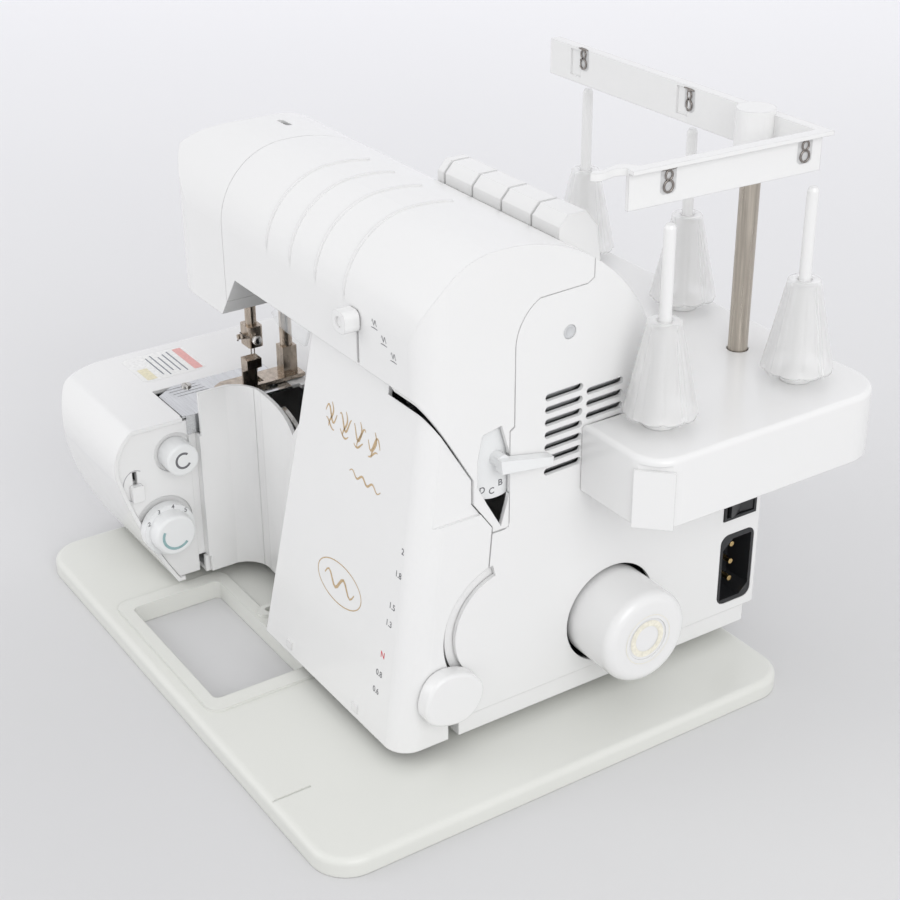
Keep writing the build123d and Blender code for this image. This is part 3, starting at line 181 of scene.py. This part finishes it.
def moulded(name, color, rough, edge=0.0007, grain=0.00002, dust=(0.70, 0.69, 0.66)):
    k = Look(name, color, rough)
    if edge:
        k.soft_edges(edge)
    k.vary_color(k.noise(9, 3), tuple(c * 0.985 for c in color))
    k.vary_color(k.noise(160, 4, rough=0.6), dust, 0.72, 0.98, 0.02)
    k.vary_rough(k.noise(60, 3), rough * 0.96, rough * 1.08)
    k.bump(k.noise(900, 2), grain, 0.6)
    return k


def metal(name, color, rough, stretch=(1, 1, 1), scale=400, dark=0.8, edge=0.0003):
    k = Look(name, color, rough, 1.0)
    if edge:
        k.soft_edges(edge)
    lines = k.noise(scale, 3, stretch)
    k.vary_color(lines, tuple(c * dark for c in color))
    k.vary_rough(k.noise(scale * 0.7, 2, stretch), rough * 0.7, rough * 1.4)
    k.bump(lines, 0.000015, 0.7)
    return k


white = moulded("white_plastic", (0.85, 0.85, 0.845), 0.24)
node_input(white.b, "Coat Weight", 0.25)
node_input(white.b, "Coat Roughness", 0.12)
tray_look = moulded("tray_plastic", (0.755, 0.762, 0.722), 0.30, edge=0.0009)
grey = moulded("grey_plastic", (0.62, 0.63, 0.64), 0.35)
dial_white = moulded("dial_plastic", (0.84, 0.85, 0.85), 0.3, edge=0.0004)
black = moulded("black_plastic", (0.02, 0.021, 0.023), 0.3, edge=0.0004, dust=(0.12, 0.12, 0.12))
rubber = moulded("rubber", (0.035, 0.035, 0.036), 0.7, grain=0.00006, dust=(0.15, 0.14, 0.13))
cast = metal("cast_metal", (0.45, 0.46, 0.47), 0.5, scale=180)
steel = metal("machined_steel", (0.62, 0.6, 0.57), 0.28, (1, 1, 0.12))
post_steel = metal("post_steel", (0.60, 0.545, 0.475), 0.33, (1, 1, 0.03), 700, 0.72)
chrome = metal("chrome", (0.78, 0.77, 0.75), 0.12, scale=120, dark=0.9)
warm = metal("warm_steel", (0.56, 0.48, 0.40), 0.26, (1, 1, 0.3), 300, 0.7)
brass = metal("brass", (0.72, 0.52, 0.24), 0.25, scale=260)
bronze = metal("bronze", (0.5, 0.33, 0.18), 0.45, scale=500)
wire = metal("wire_steel", (0.34, 0.31, 0.29), 0.22, scale=300)
plate_metal = metal("plate_metal", (0.70, 0.71, 0.72), 0.2, (0.06, 1, 1), 900, 0.86)

frosted = moulded("frosted_plastic", (0.93, 0.93, 0.925), 0.34, edge=0.0004)
node_input(frosted.b, "Alpha", 0.56)
node_input(frosted.b, "Transmission Weight", 0.35)
node_input(frosted.b, "IOR", 1.45)
clear = Look("clear_plastic", (0.93, 0.95, 0.96), 0.06)
clear.soft_edges(0.0004)
clear.bump(clear.noise(60, 2), 0.00004, 0.5)
clear.vary_rough(clear.noise(200, 2), 0.04, 0.14)
node_input(clear.b, "Alpha", 0.2)
node_input(clear.b, "IOR", 1.45)


def ink(name, color, rough=0.4):
    k = Look(name, color, rough)
    k.vary_color(k.noise(500, 3), tuple(min(1, c * 1.15 + 0.02) for c in color))
    k.vary_rough(k.noise(300, 2), rough * 0.8, rough * 1.2)
    k.bump(k.noise(1500, 2), 0.00001, 0.4)
    return k


gold_ink = ink("gold_ink", (0.50, 0.36, 0.20), 0.3)
dark_ink = ink("dark_ink", (0.14, 0.14, 0.15))
# grey used as painted shade along the slider recess rim
rim_shade_ink = ink("rim_shade_ink", (0.42, 0.42, 0.43))
red_ink = ink("red_ink", (0.60, 0.035, 0.05))
teal_ink = ink("teal_ink", (0.27, 0.42, 0.43))
slate_ink = ink("slate_ink", (0.16, 0.18, 0.21))
label_paper = ink("label_paper", (0.80, 0.80, 0.79))
label_pink = ink("label_pink", (0.74, 0.38, 0.36))
label_sand = ink("label_sand", (0.74, 0.69, 0.50))
cream_ink = ink("cream_ink", (0.80, 0.77, 0.66), 0.25)
# painted shade for the inside of the eyelet pockets
pocket_painted_shade = ink("pocket_painted_shade", (0.55, 0.55, 0.55))

# Painted shade: the front right of the throat cover is painted near-black to stand in for the shade inside the
# machine. Further back (Y) and further left (X) it turns to white plastic.
throat = moulded("throat_painted_shade", (0.05, 0.052, 0.055), 0.45)
throat_shade_mask = throat.new("ShaderNodeSeparateXYZ", Vector=throat.where)
throat.vary_color(throat_shade_mask.outputs["Y"], (0.80, 0.80, 0.795), 0.004, 0.012)
throat.vary_color(throat_shade_mask.outputs["X"], (0.80, 0.80, 0.795), -0.052, -0.066)

looks = dict.fromkeys(nodes, white)
for look, names in (
        (tray_look, "dust_tray"),
        (throat, "throat_cover"),
        (rubber, "rubber_feet drive_belt"),
        (steel, "case_screws cover_hinge_rod plate_screws lower_knife guide_rod main_shaft"),
        (steel, "motor_body motor_pulley rock_shaft feed_dogs"),
        (cast, "chassis_frame motor_bracket"),
        (bronze, "shaft_bushes needle_bar_bushes"),
        (plate_metal, "needle_plate"),
        (chrome, "tension_discs needles upper_looper lower_looper"),
        (frosted, "cone_holders lamp"),
        (post_steel, "guide_post"),
        (wire, "guide_eyelets"),
        (black, "inlet_socket switch_bezel power_rocker drive_pulley"),
        (brass, "inlet_pins"),
        (warm, "needle_bar needle_clamp presser_bar presser_foot upper_knife"),
        (grey, "presser_lifter"),
        (dial_white, "stitch_length_dial stitch_width_knob stitch_selector"),
        (clear, "eye_guard")):
    looks.update(dict.fromkeys(names.split(), look))
for name, look in looks.items():
    mesh = nodes[name].data
    mesh.materials.clear()
    mesh.materials.append(look.m)


# ------------------------------------------------------------------ stage
def make_stage():
    cloth = Look("backdrop", (0.69, 0.69, 0.69), 0.85)
    cloth.vary_color(cloth.noise(1.2, 3), (0.66, 0.66, 0.665))
    # Painted light: the backdrop colour ramps from darker near the camera and the machine to brighter further
    # back along the view, standing in for the fall-off of light.
    falloff_depth = cloth.new("ShaderNodeVectorMath", Vector=cloth.where)
    falloff_depth.operation = "DOT_PRODUCT"
    falloff_depth.inputs[1].default_value = (-0.836, 0.548, 0)
    cloth.vary_color(falloff_depth.outputs["Value"], (0.96, 0.96, 0.98), -0.1, 1.7)
    cloth.bump(cloth.noise(2.2, 3), 0.006, 0.35)
    cloth.bump(cloth.noise(500, 2), 0.0001, 0.3)
    bm = bmesh.new()
    profile = [(-3.5, 0.0), (1.7, 0.0)]
    profile += [(1.7 + 0.8 * sin(radians(a)), 0.8 - 0.8 * cos(radians(a))) for a in range(6, 91, 6)]
    profile.append((2.5, 3.2))
    turn = Matrix.Rotation(radians(56.7), 3, "Z")
    rows = []
    for d, z in profile:
        rows.append([bm.verts.new(turn @ Vector((w, d, z - 0.0002))) for w in (-4, 0, 4)])
    for a, b in zip(rows, rows[1:]):
        for i in range(2):
            bm.faces.new((a[i], a[i + 1], b[i + 1], b[i]))
    mesh = bpy.data.meshes.new("backdrop")
    bm.to_mesh(mesh)
    bm.free()
    for p in mesh.polygons:
        p.use_smooth = True
    mesh.materials.append(cloth.m)
    ob = bpy.data.objects.new("backdrop", mesh)
    scene.collection.objects.link(ob)


make_stage()


# ------------------------------------------------------------------ helpers for the added pieces
def piece(name, verts, faces, look, body, smooth=True):
    mesh = bpy.data.meshes.new(name)
    mesh.from_pydata([Vector(v) * MM for v in verts], [], faces)
    for p in mesh.polygons:
        p.use_smooth = smooth
    mesh.materials.append(look.m)
    ob = bpy.data.objects.new(name, mesh)
    scene.collection.objects.link(ob)
    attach(ob, body)
    return ob


class Shape:
    """Flat shapes gathered in millimetres, then laid on the surface of a CAD node."""

    def __init__(self):
        self.points, self.faces = [], []

    def grid(self, rows, closed=False):
        base, count = len(self.points), len(rows[0])
        for row in rows:
            self.points += row
        for i in range(len(rows) - 1):
            for j in range(count if closed else count - 1):
                a, b = base + i * count + j, base + i * count + (j + 1) % count
                self.faces.append((a, b, b + count, a + count))

    def ring(self, cx, cy, rx, ry, width, start=0, end=360, lean=0.0, steps=72):
        rows, bands = [], max(1, int(width / 0.7))
        for band in range(bands + 1):
            row, k = [], width * band / bands
            for i in range(steps + (end - start < 360)):
                a = radians(start + (end - start) * i / steps)
                x, y = (rx - k) * cos(a), (ry - k) * sin(a)
                row.append((cx + x, cy + y + lean * x))
            rows.append(row)
        self.grid(rows, closed=end - start >= 360)

    def stroke(self, path, width):
        left, right = [], []
        for i, (x, y) in enumerate(path):
            a, b = path[max(i - 1, 0)], path[min(i + 1, len(path) - 1)]
            dx, dy = b[0] - a[0], b[1] - a[1]
            d = hypot(dx, dy) or 1
            w = width * (0.35 + 0.65 * sin(pi * (i + 0.5) / len(path))) / 2
            left.append((x - dy / d * w, y + dx / d * w))
            right.append((x + dy / d * w, y - dx / d * w))
        self.grid([left, right])

    def patch(self, cx, cy, w, h, corner=1.5, steps=8):
        rows = []
        for i in range(steps + 1):
            t = -1 + 2 * i / steps
            y = t * h / 2
            cut = max(0.0, abs(y) - (h / 2 - corner))
            half = w / 2 - (corner - (max(corner * corner - cut * cut, 0)) ** 0.5)
            rows.append([(cx - half + 2 * half * j / steps, cy + y) for j in range(steps + 1)])
        self.grid(rows)

    def letters(self, text, cx, cy, size):
        curve = bpy.data.curves.new("letters", "FONT")
        curve.body, curve.size, curve.align_x, curve.align_y = text, size, "CENTER", "CENTER"
        curve.offset = size * 0.016
        ob = bpy.data.objects.new("letters", curve)
        mesh = bpy.data.meshes.new_from_object(ob)
        base = len(self.points)
        self.points += [(cx + v.co.x, cy + v.co.y) for v in mesh.vertices]
        self.faces += [tuple(base + i for i in p.vertices) for p in mesh.polygons]
        bpy.data.objects.remove(ob)
        bpy.data.curves.remove(curve)
        bpy.data.meshes.remove(mesh)

    def lay(self, name, node, side, level, look, body, finish, lift=0.06):
        """side: front looks along +Y, right along -X, top along -Z. level: where the ray starts."""
        part = nodes[node]
        tree = BVHTree.FromPolygons([part.matrix_world @ v.co for v in part.data.vertices],
                                    [p.vertices[:] for p in part.data.polygons])
        n = {"front": Vector((0, -1, 0)), "right": Vector((1, 0, 0)), "top": Vector((0, 0, 1))}[side]
        spots, hits = [], []
        for u, v in self.points:
            start = {"front": (u, level, v), "right": (level, u, v), "top": (u, v, level)}[side]
            start = Vector(start) * MM
            hit = tree.ray_cast(start, -n, 0.04)
            spots.append(hit[0] + n * lift * MM if hit[0] else None)
            if hit[0]:
                hits.append(hit[0].dot(n))
        usual = sorted(hits)[len(hits) // 2] if hits else 0
        for i, (u, v) in enumerate(self.points):
            if spots[i] is None:
                start = Vector({"front": (u, 0, v), "right": (0, u, v), "top": (u, v, 0)}[side]) * MM
                spots[i] = start + n * (usual + lift * MM)
        return piece(name, [s / MM for s in spots], self.faces, look, body)


def lathe(center, axis, rings, steps=48, wave=None, base=0):
    """Rings are (radius, height); returns verts and faces round the axis through center."""
    verts, faces = [], []
    for r, h in rings:
        for i in range(steps):
            a = 2 * pi * i / steps
            rr, hh = wave(r, h, a) if wave else (r, h)
            p = (rr * cos(a), rr * sin(a), hh)
            if axis == "X":
                p = (p[2], p[0], p[1])
            verts.append(tuple(c + q for c, q in zip(center, p)))
    for k in range(len(rings) - 1):
        for i in range(steps):
            a, b = base + k * steps + i, base + k * steps + (i + 1) % steps
            faces.append((a, b, b + steps, a + steps))
    return verts, faces


def make_cones():
    """Frosted cone holders: a straight ribbed skirt under a rounded collar."""
    bore, thick, spread = 4.3, 1.3, 0.213
    flare = [(9.6 + (cone_shoulder - z) * spread, z) for z in range(244, 198, -3)]
    collar = [(bore, cone_shoulder), (bore, cone_top - 0.4), (5, cone_top), (8.2, cone_top),
              (9.3, cone_top - 0.8), (9.5, cone_shoulder)]
    inside = [(19.0, cone_foot)] + [(r - thick, z) for r, z in reversed(flare)]
    rings = collar + flare + [(20.2, cone_foot)] + inside + [(7.6, 245), (bore, 245), (bore, cone_shoulder)]

    def ribs(r, z, a):
        share = min(1.0, max(0.0, (246 - z) / 20))
        fin = abs(sin(5 * a)) ** 0.5
        drop = 1.6 * share * (1 - fin) if z < 198 else 0
        return r - 0.55 * share * (1 - fin), z + drop

    verts, faces = [], []
    for x, y in spool_pins_at:
        v, f = lathe((x, y, 0), "Z", rings, 176, ribs, len(verts))
        verts += v
        faces += f
    ob = piece("cone_holder_skirts", verts, faces, frosted, "machine")
    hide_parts("cone_holders")


def make_vents():
    """Slanted blades behind the ventilation slots, and the plug in the round side hole."""
    outer, inner, half, drop, thick, lean = 139.2, 134.4, 12.0, 4.8, 1.0, 0.035
    box_faces = ((0, 1, 2, 3), (7, 6, 5, 4), (0, 4, 5, 1), (1, 5, 6, 2), (2, 6, 7, 3), (3, 7, 4, 0))
    verts, faces = [], []
    for y0, top in vent_tops:
        for i in range(vent_count):
            z, base = top - vent_pitch * i + 1.2, len(verts)
            for y in (y0 - half, y0 + half):
                edge = z + (y - y0) * lean
                low = edge - drop
                verts += [(outer, y, edge), (inner, y, low), (inner, y, low - thick), (outer, y, edge - thick)]
            faces += [tuple(base + k for k in q) for q in box_faces]
    piece("vent_blades", verts, faces, grey, "machine", smooth=False)
    rings = [(3.95, -2.5), (3.95, -0.6), (3.5, -0.2), (2.4, -0.2), (2.0, -0.7), (0.05, -0.7)]
    v, f = lathe(side_hole_at, "X", rings, 32)
    piece("side_hole_plug", v, f, grey, "machine")


def make_cover_prints():
    """Gold strokes, the oval ring and the feed scale on the looper cover."""
    gold = Shape()
    ring_x, ring_z = 68, 90
    gold.ring(ring_x, ring_z, 24, 12.5, 0.7)
    gold.stroke([(ring_x - 16 + 2 * i, ring_z + 4 * sin(i * 0.79)) for i in range(17)], 1.9)
    for i in range(4):                                    # four brush marks
        x = 46 + 15 * i
        gold.stroke([(x - 6 + k, 184 + 4.5 * sin(k * 0.55 + i)) for k in range(13)], 1.5)
        gold.stroke([(x + 2 * sin(k * 0.5), 191 - 1.5 * k) for k in range(11)], 1.4)
        gold.stroke([(x - 5 + k, 178 + 2.5 * cos(k * 0.4 + i)) for k in range(10)], 1.2)
    gold.stroke([(69 + k, 160 + 1.6 * sin(k * 0.6)) for k in range(33)], 1.4)
    gold.lay("panel_gold_print", "front_cover", "front", in_front, gold_ink, "looper_door", "white")
    scale, scale_x, scale_top, scale_lean = Shape(), 127, 138, 0.143
    for text, z in (("2", 138), ("1.8", 123.5), ("1.5", 103), ("1.3", 92), ("0.8", 58.5), ("0.6", 47)):
        scale.letters(text, scale_x - (scale_top - z) * scale_lean, z, 5)
    scale.lay("feed_scale_numbers", "front_cover", "front", in_front, dark_ink, "looper_door", "white")
    middle = Shape()
    middle.letters("N", 117.5, 71, 5.4)
    middle.lay("feed_scale_middle", "front_cover", "front", in_front, red_ink, "looper_door", "white")


def make_bed_label():
    """A pale paper label with plain bars."""
    x, y = label_at
    sheet = Shape()
    sheet.patch(x, y, 40, 44, 2)
    sheet.lay("bed_label", "bed_casing", "top", above, label_paper, "machine", "white")
    bars = [(x, y + 9.5 - 4 * i, 34 - 5 * (i % 3), 0.9) for i in range(5)]
    for name, look, marks in (
            ("bed_label_band", label_pink, [(x, y + 17, 36, 6)]),
            ("bed_label_lines", slate_ink, bars),
            ("bed_label_box", label_sand, [(x + 8.5, y - 15.5, 18, 7)])):
        shape = Shape()
        for cx, cy, w, h in marks:
            shape.patch(cx, cy, w, h, 0.3, 4)
        shape.lay(name, "bed_casing", "top", above, look, "machine", "white", 0.12)


def make_dial_prints():
    """Rings on the handwheel, numbers on the dial, the marks of the knob and the selector, and a crescent of
    painted shade at the slider recess.
    """
    wheel = Shape()
    wheel.ring(*wheel_at, 15.6, 15.6, 0.35)
    wheel.ring(*wheel_at, 11.6, 11.6, 3.6)
    wheel.lay("wheel_print", "handwheel", "right", beside, cream_ink, "wheel", "white", 0.2)
    past_dials, past_selector = -70, 139                  # ray starts that clear the casings
    dial = Shape()
    for i, text in enumerate("2345"):
        a = radians(150 - 36 * i)
        dial.letters(text, dial_at[0] + dial_number_r * cos(a), dial_at[1] + dial_number_r * sin(a), 4.0)
    dial.lay("dial_numbers", "stitch_length_dial", "right", past_dials, dark_ink, "length_dial", "dial")
    arc = Shape()
    arc.ring(*dial_at, 9.6, 9.6, 1.8, 150, 320)
    arc.lay("dial_arc", "stitch_length_dial", "right", past_dials, teal_ink, "length_dial", "dial")
    mark = Shape()
    mark.ring(*knob_at, 5.4, 5.6, 1.5, 50, 330)
    mark.lay("knob_mark", "stitch_width_knob", "right", past_dials, dark_ink, "width_knob", "dial")
    letters = Shape()
    for text, y, z in (("D", -28.5, 166.5), ("C", -22.5, 164.5), ("B", -17, 168)):
        letters.letters(text, y, z, 5.2)
    letters.lay("selector_marks", "stitch_selector", "right", past_selector, dark_ink, "selector", "dial")
    # painted shade: a grey crescent along one side of the slider recess rim, standing in for the shade at its
    # lip
    crescent_shade = Shape()
    crescent_shade.ring(-126, 92, 8.5, 11, 0.6, 60, 300)
    crescent_shade.lay("slider_recess_painted_shade", "knob_panel", "right", past_dials, rim_shade_ink, "machine", "white")


def make_small_marks():
    """Signs beside the mode lever and guide lines on the needle plate."""
    icons = Shape()
    for i in range(3):
        x, z = 96 + 9 * i, 256 - 6 * i
        icons.stroke([(x - 2.5 + 0.5 * k, z + 1.6 * sin(k * 1.2)) for k in range(11)], 0.6)
        icons.stroke([(x - 3, z - 3.2), (x, z - 3.0), (x + 3, z - 3.2)], 0.6)
    icons.lay("mode_signs", "arm_cover", "front", -90, dark_ink, "machine", "white")
    lines = Shape()
    for i in range(4):
        lines.patch(-136 + 4 * i, -74 + 1.2 * i, 0.5, 22, 0.1, 4)
    lines.lay("plate_lines", "needle_plate", "top", 140, dark_ink, "machine", "steel")


def make_loops():
    """Wire thread loops in shallow pockets along the guide arm, each pocket laid with a grey patch of painted
    shade.
    """
    wires, starts = [], {"front": 145, "right": beside}
    for side, u, z in (("front", -44, 324), ("front", 55, 322), ("right", 163, 320.5), ("right", 74, 320)):
        # the grey pocket patch is painted shade, standing in for the shade inside the pocket
        pocket, loop = Shape(), Shape()
        pocket.patch(u, z, 10, 14, 2)
        loop.ring(u, z - 2.8, 3.4, 3.6, 1.0)
        loop.ring(u, z + 3.0, 2.6, 2.9, 0.9)
        loop.stroke([(u - 4.5 + k, z + 6.2) for k in range(10)], 1.0)
        start, tag = starts[side], str(len(wires))
        pocket.lay("eyelet_pocket_shade_" + tag, "guide_arm", side, start, pocket_painted_shade, "guide", "white")
        wires.append(loop.lay("eyelet_wire_" + tag, "guide_arm", side, start, wire, "guide", "steel", 0.5))
    for ob in wires:
        thick = ob.modifiers.new("thick", "SOLIDIFY")
        thick.thickness, thick.offset = 0.0007, 0
    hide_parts("guide_eyelets")


def make_needle_details():
    """Clamp screw with a knurled head, and the wire hook above the needles."""
    low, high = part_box("needle_clamp")
    y, z = (low[1] + high[1]) / 2 / MM, (low[2] + high[2]) / 2 / MM
    x = high[0] / MM

    def knurl(r, h, a):
        return (r + 0.16 * cos(20 * a) if r > 2 else r), h

    screw = [(1.2, -0.5), (1.2, 2), (2.6, 2.2), (2.9, 2.8), (2.9, 5.4), (2.5, 6), (0.05, 6)]
    v, f = lathe((x, y, z), "X", screw, 80, knurl)
    piece("needle_clamp_screw", v, f, chrome, "needle_assembly")
    curve = [(x - 2 + 5 * sin(t * 0.35), y - 6 - 2.2 * cos(t * 0.5), z + 5 - t * 0.55) for t in range(15)]
    v, f = [], []
    for k, p in enumerate(curve):
        for i in range(8):
            a = 2 * pi * i / 8
            v.append((p[0] + 0.5 * cos(a), p[1] + 0.5 * sin(a), p[2]))
        if k:
            b = (k - 1) * 8
            f += [(b + i, b + (i + 1) % 8, b + 8 + (i + 1) % 8, b + 8 + i) for i in range(8)]
    piece("needle_thread_hook", v, f, wire, "needle_assembly")


make_cones()
make_vents()
make_cover_prints()
make_bed_label()
make_dial_prints()
make_small_marks()
make_loops()
make_needle_details()
